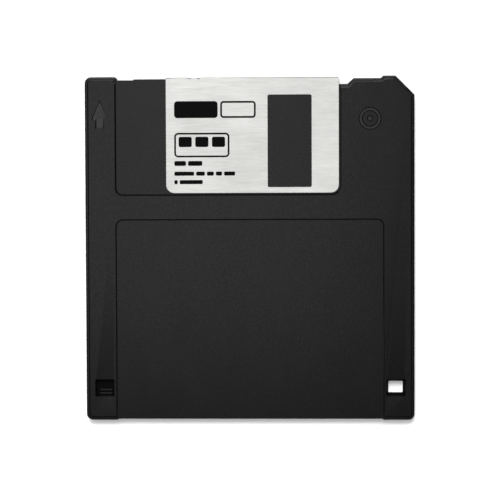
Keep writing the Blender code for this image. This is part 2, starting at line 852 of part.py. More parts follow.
def make_media(spindle):
    """The disk, the pressed steel hub that passes through it, and the glue ring between them."""
    hole_radius = hub_radius + disk_hole_play
    disk = turned(
        "magnetic_disk",
        [
            (disk_radius, disk_top_z),
            (disk_radius, disk_bottom_z),
            (hole_radius, disk_bottom_z),
            (hole_radius, disk_top_z),
        ],
        LARGE_STEPS,
        spindle,
    )
    finish(disk, (0.045, 0.032, 0.024), 0.22)
    glue = turned(
        "hub_glue_ring",
        [
            (flange_radius - disk_hole_play, glue_bottom_z + glue_thickness),
            (flange_radius - disk_hole_play, glue_bottom_z),
            (hole_radius, glue_bottom_z),
            (hole_radius, glue_bottom_z + glue_thickness),
        ],
        HUB_STEPS,
        spindle,
    )
    finish(glue, (0.6, 0.5, 0.3), 0.6)
    flange_top = flange_bottom_z + hub_sheet
    inside = hub_radius - hub_sheet
    fold = [
        (hub_radius - hub_fold_radius * (1 - math.cos(angle)), hub_sink + hub_fold_radius * (1 - math.sin(angle)))
        for angle in (math.radians(degrees) for degrees in (0, 30, 60, 90))
    ]
    hub = turned(
        "hub",
        [
            (0, hub_sink + hub_sheet),
            (inside, hub_sink + hub_sheet),
            (inside, flange_top),
            (flange_radius, flange_top),
            (flange_radius, flange_bottom_z),
            (hub_radius, flange_bottom_z),
            *fold,
            (0, hub_sink),
        ],
        HUB_STEPS,
        spindle,
    )
    half = hub_square / 2
    square = rectangle(-half, half, -half, half, small_radius)
    under, over = hub_sink - BEYOND, hub_sink + hub_sheet + BEYOND
    cut(hub, extruded("spindle_hole", [square], under, over, "Z", spindle))
    slot = rectangle(
        -drive_slot_length / 2,
        drive_slot_length / 2,
        drive_slot_radius - drive_slot_width / 2,
        drive_slot_radius + drive_slot_width / 2,
        drive_slot_corner,
    )
    cut(hub, extruded("drive_slot", [slot], under, over, "Z", spindle))
    finish(hub, (0.62, 0.61, 0.58), 0.3, 1.0)
    return disk, glue, hub


def make_liner(name, low):
    """A ring of non-woven cloth glued inside a shell, open where the heads come in."""
    high = low + liner_thickness
    liner = turned(
        name,
        [
            (liner_radius, high),
            (liner_radius, low),
            (liner_hole_radius, low),
            (liner_hole_radius, high),
        ],
        LARGE_STEPS,
    )
    liner.location.y = hub_y
    half = head_width / 2 + liner_window_margin
    low_y = head_y - head_length / 2 - liner_window_margin
    high_y = hub_y + liner_radius + BEYOND
    opening = add_box(
        name + "_opening", (-half, low_y, low - BEYOND), (half, high_y, high + BEYOND)
    )
    cut(liner, opening)
    return finish(liner, (0.75, 0.75, 0.73), 0.95)


def make_lifter():
    """The bent leaf of film that presses the back liner against the disk."""
    glued_z = lifter_floor_z + lifter_gap
    free_z = back_floor_z + liner_gap - lifter_gap - lifter_sheet
    start = hub_y - lifter_width / 2
    bend = start + lifter_glued
    end = start + lifter_width
    side = [
        (start, glued_z, 0),
        (bend, glued_z, 0),
        (end, free_z, 0),
        (end, free_z + lifter_sheet, 0),
        (bend, glued_z + lifter_sheet, 0),
        (start, glued_z + lifter_sheet, 0),
    ]
    leaf = extruded(
        "liner_lifter", [side], lifter_x - lifter_length / 2, lifter_x + lifter_length / 2, "X"
    )
    return finish(leaf, (0.35, 0.2, 0.08), 0.3)


def spring_route():
    """The wire's middle line: a hook in the case, a leg, the coil, a leg, a hook in the tongue."""
    coil_distance = rib_radius + spring_gap + spring_coil_radius + spring_wire / 2
    outwards = Vector((math.cos(spring_angle), math.sin(spring_angle)))
    coil = Vector((0, hub_y)) + outwards * coil_distance
    hook = Vector((shutter_travel + tongue_x, tongue_end_y + tongue_hole_inset))
    top_z = front_floor_z - spring_play - spring_wire / 2
    low_z = back_floor_z + spring_play + spring_wire / 2
    to_anchor, to_hook = anchor - coil, hook - coil
    start = math.atan2(to_anchor.y, to_anchor.x) + math.acos(spring_coil_radius / to_anchor.length)
    end = math.atan2(to_hook.y, to_hook.x) - math.acos(spring_coil_radius / to_hook.length)
    turn = (end - start) % math.tau + spring_turns * math.tau
    steps = math.ceil(turn / math.tau * COIL_STEPS)
    route = [
        (anchor.x, anchor.y, top_z - anchor_hook),
        (anchor.x, anchor.y, top_z),
    ]
    for step in range(steps + 1):
        share = step / steps
        angle = start + turn * share
        x = coil.x + spring_coil_radius * math.cos(angle)
        y = coil.y + spring_coil_radius * math.sin(angle)
        route.append((x, y, top_z + (low_z - top_z) * share))
    route.append((hook.x, hook.y, low_z))
    route.append((hook.x, hook.y, low_z + tongue_hook))
    return route


def make_spring():
    """The torsion spring in the left leading corner. One leg is held by the case."""
    curve = bpy.data.curves.new("shutter_spring", "CURVE")
    curve.dimensions = "3D"
    curve.bevel_depth = spring_wire / 2
    curve.bevel_resolution = 2
    curve.use_fill_caps = True
    route = spring_route()
    spline = curve.splines.new("POLY")
    spline.points.add(len(route) - 1)
    for point, place in zip(spline.points, route):
        point.co = (*place, 1)
    return finish(add_object("shutter_spring", curve), (0.55, 0.54, 0.52), 0.25, 1.0)


clear_scene()
parts = collection("floppy_disk")
cutters = collection("cutters")
make_front_shell()
make_back_shell()
make_shutter()
make_write_protect_tab()
make_media(joint_empty("spindle", (0, hub_y, 0)))
make_liner("front_liner", front_floor_z - liner_gap - liner_thickness)
make_liner("back_liner", back_floor_z + liner_gap)
make_lifter()
make_spring()
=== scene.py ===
# %% [markdown]
# # A floppy disk seen from above
#
# The object is a 3.5 inch floppy disk: two black moulded shells, a bright metal shutter, and the
# magnetic disk with its hub inside. Its solids come from a CAD model that has been packed with its
# joints, and this script dresses them. Each piece made here rides on one of the frame's bodies, so
# that it moves with the joints.

# %% Load the frame
import json
import math

import bmesh
import bpy
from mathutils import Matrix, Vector

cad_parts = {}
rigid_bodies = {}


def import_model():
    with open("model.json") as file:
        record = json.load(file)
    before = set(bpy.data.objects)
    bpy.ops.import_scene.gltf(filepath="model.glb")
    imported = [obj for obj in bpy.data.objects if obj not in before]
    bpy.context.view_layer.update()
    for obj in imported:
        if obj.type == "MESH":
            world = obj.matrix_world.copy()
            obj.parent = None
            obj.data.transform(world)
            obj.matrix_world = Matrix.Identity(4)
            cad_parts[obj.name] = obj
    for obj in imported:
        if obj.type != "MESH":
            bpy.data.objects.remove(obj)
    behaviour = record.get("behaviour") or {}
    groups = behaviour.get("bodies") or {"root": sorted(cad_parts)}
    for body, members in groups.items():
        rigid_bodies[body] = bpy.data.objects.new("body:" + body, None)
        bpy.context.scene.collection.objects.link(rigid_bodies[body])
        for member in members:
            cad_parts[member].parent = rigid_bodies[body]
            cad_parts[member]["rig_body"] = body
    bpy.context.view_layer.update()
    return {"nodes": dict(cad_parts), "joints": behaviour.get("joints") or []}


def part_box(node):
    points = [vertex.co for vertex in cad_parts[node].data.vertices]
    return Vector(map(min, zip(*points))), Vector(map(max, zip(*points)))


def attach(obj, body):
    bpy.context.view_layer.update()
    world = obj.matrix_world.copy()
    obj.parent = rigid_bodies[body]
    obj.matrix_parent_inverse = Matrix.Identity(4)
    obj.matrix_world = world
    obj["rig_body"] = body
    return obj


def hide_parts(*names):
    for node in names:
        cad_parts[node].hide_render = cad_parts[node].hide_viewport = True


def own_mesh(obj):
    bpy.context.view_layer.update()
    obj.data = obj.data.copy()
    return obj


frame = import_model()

MM = 0.001
print("The frame's nodes:", ", ".join(sorted(frame["nodes"])))

# %% [markdown]
# The photograph looks almost straight down, from a little to the right and behind the leading edge,
# so the far sides converge by less than one part in a hundred. A long lens at under half a metre
# does the same. The lean and the focal length were fitted to the four corners of the case.

# %% Place the camera
def placed(name, data):
    """A new object in the scene that shows this data."""
    new_object = bpy.data.objects.new(name, data)
    bpy.context.scene.collection.objects.link(new_object)
    return new_object


camera_distance = 450 * MM
camera_lean = [math.radians(angle) for angle in (-1.97, 1.66, -0.21)]
focal_length = 117.7
aim_point = Vector((0, -0.46 * MM, 0))

camera_data = bpy.data.cameras.new("camera")
camera_data.lens = focal_length
camera_data.clip_start = 10 * MM
camera = placed("camera", camera_data)
camera.rotation_euler = camera_lean
camera.location = aim_point + camera.rotation_euler.to_matrix() @ Vector((0, 0, camera_distance))
bpy.context.scene.camera = camera
print("Camera at", tuple(round(c / MM, 1) for c in camera.location), "mm")

# %% [markdown]
# The disk lies on white paper that has no visible edge. A floor of several metres keeps the low
# views free of one, and its plain white takes the soft shadow. Blender's standard view keeps white
# paper white and dark plastic dark, as the photograph does.

# %% Lay the floor
floor_half = 4.0
bpy.ops.mesh.primitive_plane_add(size=2 * floor_half)
floor = bpy.context.object
floor.name = "floor"
paper = bpy.data.materials.new("white_paper")
paper.use_nodes = True
paper_shader = paper.node_tree.nodes["Principled BSDF"]
paper_shader.inputs["Base Color"].default_value = (0.88, 0.88, 0.88, 1)
paper_shader.inputs["Roughness"].default_value = 0.9
paper_shader.inputs["Specular IOR Level"].default_value = 0.1
floor.data.materials.append(paper)
bpy.context.scene.view_settings.view_transform = "Standard"
print("Floor", 2 * floor_half, "m square")

# %% [markdown]
# Black plastic shows little but what it mirrors. In the photograph it is lightest at the top left and
# fades towards the bottom right. A softbox above, a little to the left and beyond the leading edge,
# gives that: the faces that lie flat mirror it, and those at the right and the bottom mirror its
# border. The rim that faces +Y has a bright line and the only shadow lies below the rear edge, so
# there is also a window beyond the leading edge, lower than the softbox. It is a sun lamp with a wide
# disk, because a sun lights the paper evenly out to where a low camera looks. The room is dim, which
# keeps every other step and rim dark, apart from a low white wall all round that continues the paper.

# %% Light the room
room_light = 0.36
wall_light = 1.0
wall_sine = (0.14, 0.36)

world = bpy.data.worlds.new("studio")
world.use_nodes = True
world_nodes, world_links = world.node_tree.nodes, world.node_tree.links
outward = world_nodes.new("ShaderNodeTexCoord").outputs["Generated"]
height = world_nodes.new("ShaderNodeSeparateXYZ")
fade = world_nodes.new("ShaderNodeMapRange")
fade.interpolation_type = "SMOOTHSTEP"
fade.inputs["From Min"].default_value = wall_sine[0]
fade.inputs["From Max"].default_value = wall_sine[1]
fade.inputs["To Min"].default_value = wall_light
fade.inputs["To Max"].default_value = room_light
world_links.new(outward, height.inputs["Vector"])
world_links.new(height.outputs["Z"], fade.inputs["Value"])
world_links.new(fade.outputs["Result"], world_nodes["Background"].inputs["Strength"])
world_nodes["Background"].inputs["Color"].default_value = (1, 1, 1, 1)
bpy.context.scene.world = world
print("The wall's light fades to the room's between the sines", wall_sine, "of the angle upwards")

# %% Hang the softbox and the window
softbox_place = (-0.09, 0.11, 0.70)
softbox_width, softbox_depth = 0.36, 0.44
softbox_watts = 2.6
window_lean = (math.radians(-32), math.radians(-3), 0)
window_angle = math.radians(20)
window_watts = 2.4

softbox = bpy.data.lights.new("softbox", "AREA")
softbox.shape = "RECTANGLE"
softbox.size = softbox_width
softbox.size_y = softbox_depth
softbox.energy = softbox_watts
placed("softbox", softbox).location = softbox_place
print("softbox", softbox_watts, "W at", softbox_place, "m")

window = bpy.data.lights.new("far_window", "SUN")
window.angle = window_angle
window.energy = window_watts
placed("far_window", window).rotation_euler = window_lean
print("far_window", window_watts, "W per square metre")

# %% [markdown]
# The CAD solids are faceted, with sharp edges and every triangle loose from the next. Real mouldings
# and stampings have small radii that catch the light. So each piece is a copy of its node: the
# triangles are welded and flat areas are merged into single faces. Then a Bevel modifier rounds each
# sharp edge whose two faces are wide enough for it. Slivers, as where a sunken area runs out over
# the rim, would fold over themselves. The gentle slopes of the rim and of the sunken areas meet the
# level faces in a crease, which is marked sharp and so keeps its crisp line. A Weld modifier closes
# the corners where several rounded edges meet, and a Weighted Normal modifier lets the large faces
# keep their flat shading beside the rounded edges.

# %% Define how a solid is copied
WELD = 1e-6
FLAT = math.radians(0.5)
CREASE = math.radians(20)
CORNER = math.radians(40)


def merge_flats(shape):
    """Welds loose triangles and merges flat areas."""
    bmesh.ops.remove_doubles(shape, verts=shape.verts, dist=WELD)
    bmesh.ops.dissolve_limit(shape, angle_limit=FLAT, verts=shape.verts, edges=shape.edges)


def copied(name, node):
    """A clean copy of a CAD node. It rides on the node's body and replaces it."""
    source = frame["nodes"][node]
    shape = bmesh.new()
    shape.from_mesh(source.data)
    merge_flats(shape)
    mesh = bpy.data.meshes.new(name)
    shape.to_mesh(mesh)
    shape.free()
    for attribute in list(mesh.attributes):
        if attribute.name.startswith(("custom_normal", "UVMap")):
            mesh.attributes.remove(attribute)
    piece = placed(name, mesh)
    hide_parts(node)
    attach(piece, source["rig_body"])
    print(name, "replaces", node, "with", len(mesh.polygons), "faces")
    return piece


# %% Define how modifiers are applied
def finished_mesh(thing):
    """A mesh of the object as Blender shows it, with its modifiers or its curve's thickness."""
    bpy.context.view_layer.update()
    depsgraph = bpy.context.evaluated_depsgraph_get()
    return bpy.data.meshes.new_from_object(thing.evaluated_get(depsgraph))


def apply_modifiers(piece):
    """Makes the modified shape the piece's mesh."""
    mesh = finished_mesh(piece)
    piece.modifiers.clear()
    piece.data = mesh


# %% Define how its edges are rounded
ROOM_IN_RADII = 2.02
LEVEL_NORMAL = 0.9999


def face_width(face):
    """The short side of a long thin face, roughly."""
    return 2 * face.calc_area() / face.calc_perimeter()


def round_edges(piece, radius, segments=3):
    """Rounds the sharp edges that have room for it, and shades the piece smooth."""
    shape = bmesh.new()
    shape.from_mesh(piece.data)
    merge_flats(shape)
    weight = shape.edges.layers.float.new("bevel_weight_edge")
    rounded = 0
    for edge in shape.edges:
        angle = edge.calc_face_angle(0)
        roomy = all(face_width(face) > ROOM_IN_RADII * radius for face in edge.link_faces)
        level = any(abs(face.normal.z) > LEVEL_NORMAL for face in edge.link_faces)
        if angle > CORNER and roomy:
            edge[weight] = 1.0
            rounded += 1
        elif angle > CORNER or angle > CREASE and level:
            edge.smooth = False
    shape.to_mesh(piece.data)
    shape.free()
    piece.data.shade_smooth()
    bevel = piece.modifiers.new("edges", "BEVEL")
    bevel.limit_method = "WEIGHT"
    bevel.width = radius
    bevel.segments = segments
    bevel.use_clamp_overlap = False
    weld = piece.modifiers.new("weld", "WELD")
    weld.merge_threshold = WELD
    shading = piece.modifiers.new("shading", "WEIGHTED_NORMAL")
    shading.weight = 100
    shading.keep_sharp = True
    apply_modifiers(piece)
    print(piece.name, "has", rounded, "edges rounded and", len(piece.data.polygons), "faces")


# %% [markdown]
# Every finish starts from the Principled shader and reads its patterns from the piece's own space,
# in metres, so a grain keeps its size on large and small pieces and moves with them. Blender's noise
# seldom leaves the middle of its range, so a pattern is spread from there to the limits it needs.

# %% Define how a finish is made
NOISE_RANGE = (0.3, 0.7)


class Finish:
    """A material whose nodes are added by short calls."""

    def __init__(self, name, colour, roughness, metallic=0.0, specular=0.5):
        self.material = bpy.data.materials.new(name)
        self.material.use_nodes = True
        self.nodes = self.material.node_tree.nodes
        self.links = self.material.node_tree.links
        self.shader = self.nodes["Principled BSDF"]
        self.shader.inputs["Base Color"].default_value = (*colour, 1)
        self.shader.inputs["Roughness"].default_value = roughness
        self.shader.inputs["Metallic"].default_value = metallic
        self.shader.inputs["Specular IOR Level"].default_value = specular
        self.space = self.nodes.new("ShaderNodeTexCoord").outputs["Object"]

    def noise(self, size, detail=2.0, stretch=(1, 1, 1)):
        """Cloudy grey noise whose lumps are about this size, longer along a stretched axis."""
        place = self.nodes.new("ShaderNodeMapping")
        place.inputs["Scale"].default_value = [1 / (size * s) for s in stretch]
        texture = self.nodes.new("ShaderNodeTexNoise")
        texture.inputs["Scale"].default_value = 1.0
        texture.inputs["Detail"].default_value = detail
        self.links.new(self.space, place.inputs["Vector"])
        self.links.new(place.outputs["Vector"], texture.inputs["Vector"])
        return texture.outputs["Fac"]

    def ranged(self, value, low, high):
        """The value spread between two limits."""
        spread = self.nodes.new("ShaderNodeMapRange")
        spread.inputs["From Min"].default_value = NOISE_RANGE[0]
        spread.inputs["From Max"].default_value = NOISE_RANGE[1]
        spread.inputs["To Min"].default_value = low
        spread.inputs["To Max"].default_value = high
        self.links.new(value, spread.inputs["Value"])
        return spread.outputs["Result"]

    def mixed(self, share, first, second):
        """The mean of two grey patterns, with this share of the second."""
        mix = self.nodes.new("ShaderNodeMix")
        mix.inputs["Factor"].default_value = share
        self.links.new(first, mix.inputs["A"])
        self.links.new(second, mix.inputs["B"])
        return mix.outputs["Result"]

    def toned(self, value, first, second):
        """A colour between two others."""
        mix = self.nodes.new("ShaderNodeMix")
        mix.data_type = "RGBA"
        mix.inputs["A"].default_value = (*first, 1)
        mix.inputs["B"].default_value = (*second, 1)
        self.links.new(value, mix.inputs["Factor"])
        return mix.outputs["Result"]

    def bump(self, height, depth, strength=1.0, below=None):
        """Raises the surface by a height pattern of this depth. Another bump can lie below it."""
        node = self.nodes.new("ShaderNodeBump")
        node.inputs["Strength"].default_value = strength
        node.inputs["Distance"].default_value = depth
        self.links.new(height, node.inputs["Height"])
        if below:
            self.links.new(below, node.inputs["Normal"])
        return node.outputs["Normal"]

    def feed(self, socket, value):
        """Links a pattern to one of the shader's sockets."""
        self.links.new(value, self.shader.inputs[socket])


# %% [markdown]
# The case is black plastic from a finely eroded mould, so it is satin and not glossy. The grain is
# about a tenth of a millimetre and shows as a soft sheen with faint flow marks. Where walls meet, an
# Ambient Occlusion node of a fraction of a millimetre darkens the colour: painted shade that draws
# thin dark lines along every step.

# %% Make the black plastic
step_shade = 0.45 * MM
flow_size = 9 * MM
speckle_size = 0.5 * MM
dimple_size, dimple_depth = 0.9 * MM, 0.004 * MM
grain_size, grain_depth = 0.12 * MM, 0.006 * MM
grain_strength = 0.6
satin_play = 0.06


def grey(level):
    """The colour whose three parts are all at this level."""
    return (level, level, level)


def black_plastic(name, dark, light, roughness, specular):
    """Black plastic whose colour lies between two greys, with painted shade where walls meet."""
    finish = Finish(name, grey(light), roughness, specular=specular)
    flow = finish.noise(flow_size, 4, stretch=(0.7, 1.5, 1))
    speckle = finish.noise(speckle_size, 2)
    # Painted shade: the Ambient Occlusion node darkens the colour where walls meet.
    shade = finish.nodes.new("ShaderNodeAmbientOcclusion")
    shade.inputs["Distance"].default_value = step_shade
    shade.samples = 8
    shade.only_local = True
    colour = finish.toned(finish.ranged(flow, 0, 1), grey(dark), grey(light))
    finish.links.new(colour, shade.inputs["Color"])
    finish.feed("Base Color", shade.outputs["Color"])
    finish.feed("Roughness", finish.ranged(speckle, roughness - satin_play, roughness + satin_play))
    coarse = finish.bump(finish.noise(dimple_size, 3), dimple_depth, grain_strength)
    fine = finish.bump(finish.noise(grain_size, 2), grain_depth, grain_strength, coarse)
    finish.feed("Normal", fine)
    return finish.material


case_black = black_plastic("case_black", 0.0012, 0.0024, 0.28, 0.080)
sign_black = black_plastic("sign_black", 0.0020, 0.0034, 0.28, 0.124)
# Painted light: a lighter colour and a stronger reflection for chosen slopes.
painted_light_black = black_plastic("painted_light_black", 0.0024, 0.0040, 0.34, 0.24)
# Painted shade: a darker colour for faces that lie in shade.
painted_shade_black = black_plastic("painted_shade_black", 0.0008, 0.0016, 0.75, 0.04)
print("Black plastics:", case_black.name, sign_black.name, painted_light_black.name, painted_shade_black.name)

# %% [markdown]
# The shutter is thin rolled metal, brushed along the leading edge. Its brush lines are long and very
# fine, so the noise is stretched many times along X. It drives the roughness and a shallow bump.
# Broad cloudy patches keep the large flat face from looking like paint.

# %% Make the brushed metal
def brushed_metal(name, dark, light, roughness):
    """Metal with brush lines along X and cloudy patches, whose colour lies between two others."""
    finish = Finish(name, light, roughness, metallic=1.0)
    lines = finish.noise(0.16 * MM, 3, stretch=(60, 1, 1))
    dashes = finish.noise(0.3 * MM, 2, stretch=(9, 1, 1))
    patches = finish.noise(7 * MM, 3, stretch=(2, 1, 1))
    streaks = finish.mixed(0.5, lines, dashes)
    tone = finish.mixed(0.35, streaks, patches)
    finish.feed("Base Color", finish.toned(finish.ranged(tone, 0, 1), dark, light))
    finish.feed("Roughness", finish.ranged(lines, roughness - 0.05, roughness + 0.07))
    finish.feed("Normal", finish.bump(streaks, 0.0012 * MM, 0.5))
    return finish.material


shutter_metal = brushed_metal("shutter_metal", (0.385, 0.385, 0.375), (0.505, 0.505, 0.495), 0.65)
print("Brushed metal:", shutter_metal.name)

# %% [markdown]
# The label half of the case is the piece that shows most. Its copy keeps the CAD form. Two signs are
# sunk in its face: the arrow that says which end goes in first, and a plain disk sign, a ring round
# a dot. Their walls slope, so that the moulding leaves its mould. A slope of some thirty degrees
# mirrors neither the softbox nor the white wall, so it reads as a dark outline. A cutter starts as
# a flat outline that is given a thickness, and its upper outline is moved outwards before a Boolean
# takes it away.

# %% Give a flat outline a thickness
def outline_solid(name, outlines, low, high):
    """A solid between two heights from closed flat outlines. An outline inside another is a hole."""
    curve = bpy.data.curves.new(name, "CURVE")
    curve.dimensions = "2D"
    curve.fill_mode = "BOTH"
    curve.extrude = (high - low) / 2
    for outline in outlines:
        spline = curve.splines.new("POLY")
        spline.points.add(len(outline) - 1)
        for point, (x, y) in zip(spline.points, outline):
            point.co = (x, y, 0, 1)
        spline.use_cyclic_u = True
    drawn = placed(name + "_drawn", curve)
    mesh = finished_mesh(drawn)
    shape = bmesh.new()
    shape.from_mesh(mesh)
    bmesh.ops.remove_doubles(shape, verts=shape.verts, dist=WELD)
    bmesh.ops.recalc_face_normals(shape, faces=shape.faces)
    bmesh.ops.translate(shape, verts=shape.verts, vec=(0, 0, (low + high) / 2))
    shape.to_mesh(mesh)
    shape.free()
    bpy.data.objects.remove(drawn)
    return placed(name, mesh)


# %% Slope the walls of a cutter
STEEP_NORMAL = 0.5


def flared(solid, grow):
    """Moves the solid's upper outline outwards, so that its walls slope."""
    shape = bmesh.new()
    shape.from_mesh(solid.data)
    top = max(vert.co.z for vert in shape.verts)
    shifts = {}
    for vert in shape.verts:
        walls = [face.normal for face in vert.link_faces if abs(face.normal.z) < STEEP_NORMAL]
        if top - vert.co.z < WELD and walls:
            first = walls[0]
            second = min(walls, key=first.dot)
            shifts[vert] = (first + second) * grow / (1 + first.dot(second))
    for vert, shift in shifts.items():
        vert.co += shift
    shape.to_mesh(solid.data)
    shape.free()
    return solid


# %% Define how a piece is cut and dressed
def cut_out(piece, tool):
    """Takes the tool's solid out of the piece, and removes the tool."""
    knife = piece.modifiers.new(tool.name, "BOOLEAN")
    knife.operation = "DIFFERENCE"
    knife.solver = "EXACT"
    knife.object = tool
    apply_modifiers(piece)
    bpy.data.objects.remove(tool)


def dress(piece, material):
    """Gives a piece its finish."""
    piece.data.materials.clear()
    piece.data.materials.append(material)


# %% Draw round corners and circles
corner_steps = 6
circle_steps = 48


def rounded_box(left, right, low, high, radius):
    """The outline of an upright rectangle with round corners, counter-clockwise."""
    centres = [
        (right - radius, high - radius),
        (left + radius, high - radius),
        (left + radius, low + radius),
        (right - radius, low + radius),
    ]
    points = []
    for quarter, (x, y) in enumerate(centres):
        for step in range(corner_steps + 1):
            angle = (quarter + step / corner_steps) * math.pi / 2
            points.append((x + radius * math.cos(angle), y + radius * math.sin(angle)))
    return points


def circle(centre, radius):
    """The outline of a circle, counter-clockwise."""
    angles = [math.tau * step / circle_steps for step in range(circle_steps)]
    return [(centre.x + radius * math.cos(a), centre.y + radius * math.sin(a)) for a in angles]


# %% Make a cutter for a sunken sign
shell_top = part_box("front_shell")[1].z
cutter_rise = 0.2 * MM


def sloped_cutter(name, outlines, floor, run):
    """A cutter whose walls lean out by the run between its floor and the case's top face."""
    above = shell_top + cutter_rise
    solid = outline_solid(name, outlines, floor, above)
    return flared(solid, run * (above - floor) / (shell_top - floor))


print("The case's top face lies", round(shell_top / MM, 3), "mm up")

# %% Draw the two signs
sign_floor = shell_top - 0.16 * MM
sign_run = 0.25 * MM
arrow_tip = Vector((-40.88, 40.3)) * MM
arrow_head = Vector((3.9, 4.6)) * MM
arrow_stem = Vector((1.95, 7.1)) * MM
disk_sign_place = Vector((32.9, 35.4)) * MM
disk_sign_radii = (2.85 * MM, 2.25 * MM, 0.6 * MM)


def arrow_outline():
    """The arrow's seven corners, counter-clockwise from its tip."""
    half_head, half_stem = arrow_head.x / 2, arrow_stem.x / 2
    shape = [
        (0, 0),
        (-half_head, -arrow_head.y),
        (-half_stem, -arrow_head.y),
        (-half_stem, -arrow_stem.y),
        (half_stem, -arrow_stem.y),
        (half_stem, -arrow_head.y),
        (half_head, -arrow_head.y),
    ]
    return [(arrow_tip.x + x, arrow_tip.y + y) for x, y in shape]


sign_circles = [circle(disk_sign_place, radius) for radius in disk_sign_radii]
print("The signs are", round((shell_top - sign_floor) / MM, 3), "mm deep")

# %% [markdown]
# Some faces take another finish, and are chosen by where they lie and how they stand. The floors of
# the signs are polished in the mould. The slope that the shutter strikes each time its spring closes
# it gets a lighter colour and a stronger reflection: painted light, so only a thin dark line is left
# beside the closed shutter. The step of the rim along the leading edge gets the same painted
# highlight, so that it catches the light of the window.

# %% Choose faces for another finish
height_play = 0.005 * MM
level_least, wall_most, forward_least = 0.999, 0.9, 0.2
shutter_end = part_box("shutter")[1].x
stop_reach = 1.2 * MM
stop_tilt = (0.5, 0.97)
leading_area = 40 * MM
step_tilt = (0.85, 0.97)


def lies_at(height):
    """A test for level faces at this height."""
    return lambda face: face.normal.z > level_least and abs(face.center.z - height) < height_play


def stands_near(place, reach):
    """A test for walls within reach of a place, seen from above."""
    return lambda face: abs(face.normal.z) < wall_most and (face.center - place).to_2d().length < reach


def is_stop(face):
    """The test for the slope that the closed shutter rests against."""
    low, high = stop_tilt
    from_shutter = face.center.x - shutter_end
    return 0 < from_shutter < stop_reach and low < face.normal.z < high and face.center.y > 0


def is_leading_step(face):
    """The test for the slopes of the rim's step along the leading edge."""
    low, high = step_tilt
    leads = face.normal.y > forward_least and face.center.y > leading_area
    return leads and low < face.normal.z < high


def finish_faces(piece, material, *tests):
    """Gives another finish to the faces that pass one of the tests."""
    piece.data.materials.append(material)
    faces = [face for face in piece.data.polygons if any(test(face) for test in tests)]
    for face in faces:
        face.material_index = len(piece.data.materials) - 1
    print(len(faces), "faces of", piece.name, "have", material.name)


print("The closed shutter ends at X", round(shutter_end / MM, 3), "mm")

# %% Mould the label half and sink its signs
case_edge = 0.07 * MM
case_front = copied("case_front", "front_shell")
cut_out(case_front, sloped_cutter("arrow_cutter", [arrow_outline()], sign_floor, sign_run))
cut_out(case_front, sloped_cutter("disk_sign_cutter", sign_circles, sign_floor, sign_run))
round_edges(case_front, case_edge)
dress(case_front, case_black)
finish_faces(case_front, sign_black, lies_at(sign_floor))
# Painted light: the slope by the closed shutter and the leading step are lightened.
finish_faces(case_front, painted_light_black, is_stop, is_leading_step)

# %% [markdown]
# The hub half has the same finish. The walls of the two square windows near the rear corners lie in
# shade, so they get a darker, rough finish: painted shade.

# %% Mould the hub half and darken the windows
case_back = copied("case_back", "back_shell")
round_edges(case_back, case_edge)
dress(case_back, case_black)

protect_window = sum(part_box("write_protect_tab"), Vector((0, 0, 0))) / 2
density_window = protect_window * Vector((-1, 1, 1))
window_reach = 3.7 * MM
by_density_window = stands_near(density_window, window_reach)
# Painted shade: the walls of both windows get the darker colour.
finish_faces(case_back, painted_shade_black, by_density_window)
finish_faces(case_front, painted_shade_black, by_density_window, stands_near(protect_window, window_reach))

# %% [markdown]
# The shutter is punched from sheet and folded. Punching rolls the edges over, so they are rounded for
# more than half the way to the middle of the sheet. A Solidify modifier on a folded plane would give
# such a sheet too, but the CAD solid has its windows and its tongue already.

# %% Round the shutter's edges
sheet_edge = 0.06 * MM
shutter_plate = copied("shutter_plate", "shutter")
round_edges(shutter_plate, sheet_edge)
dress(shutter_plate, shutter_metal)

# %% [markdown]
# The write-protect tab is the ribbed slider in the corner window. Its hollow lies in shade, so it gets
# the same darker, rough finish: painted shade. Only the tops of its two steps, where a fingernail
# pushes, keep the satin finish of the case.

# %% Mould the write-protect tab
tab_edge = 0.06 * MM
protect_tab = copied("protect_tab", "write_protect_tab")
round_edges(protect_tab, tab_edge, segments=2)
# Painted shade: the tab is dark except for the tops of its steps.
dress(protect_tab, painted_shade_black)
finish_faces(protect_tab, case_black, lies_at(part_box("write_protect_tab")[1].z))

# %% [markdown]
# The shutter is printed with plain shapes: a solid and an outlined bar, a rounded frame with three
# blocks, and rows of dashes the size of small print. Screen ink is a hundredth or two of a millimetre
# thick, so each shape is a real thin slab. It could be a mask in the metal's material, but a slab keeps
# a crisp edge at any distance.

# %% Mix the ink
ink = Finish("screen_ink", grey(0.002), 0.5, specular=0.015)
ink_film = ink.noise(0.35 * MM, 3)
ink.feed("Roughness", ink.ranged(ink_film, 0.45, 0.6))
ink.feed("Normal", ink.bump(ink_film, 0.002 * MM, 0.5))
print("Ink:", ink.material.name)

# %% Define the printed shapes
ink_thickness = 0.014 * MM
ink_sink = 0.004 * MM
shutter_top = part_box("shutter")[1].z
print_span = (shutter_top - ink_sink, shutter_top + ink_thickness)
print_left = -20.5 * MM
word_gap = 0.55 * MM
dash_roundness = 0.3


def framed(left, right, low, high, radius, line):
    """A rounded box and, inside it, the hole that leaves a line."""
    inner = rounded_box(left + line, right - line, low + line, high - line, radius - line)
    return [rounded_box(left, right, low, high, radius), inner]


def dash_row(low, height, lengths):
    """A row of dashes from the print's left edge, like words of these lengths."""
    left, row = print_left, []
    for length in lengths:
        row.append(rounded_box(left, left + length, low, low + height, height * dash_roundness))
        left += length + word_gap
    return row


def printed(name, outlines):
    """An ink piece on the shutter's face."""
    piece = outline_solid(name, outlines, *print_span)
    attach(piece, "shutter")
    dress(piece, ink.material)
    print(name, "has", len(outlines), "outlines")


# %% Print the bars
bar_low, bar_high, bar_radius = 35.7 * MM, 40.3 * MM, 0.9 * MM
bar_line = 0.5 * MM
solid_right, outlined_left, outlined_right = -8.6 * MM, -7.9 * MM, 1.8 * MM
solid_bar = rounded_box(print_left, solid_right, bar_low, bar_high, bar_radius)
outlined_bar = framed(outlined_left, outlined_right, bar_low, bar_high, bar_radius, bar_line)
printed("print_bars", [solid_bar] + outlined_bar)

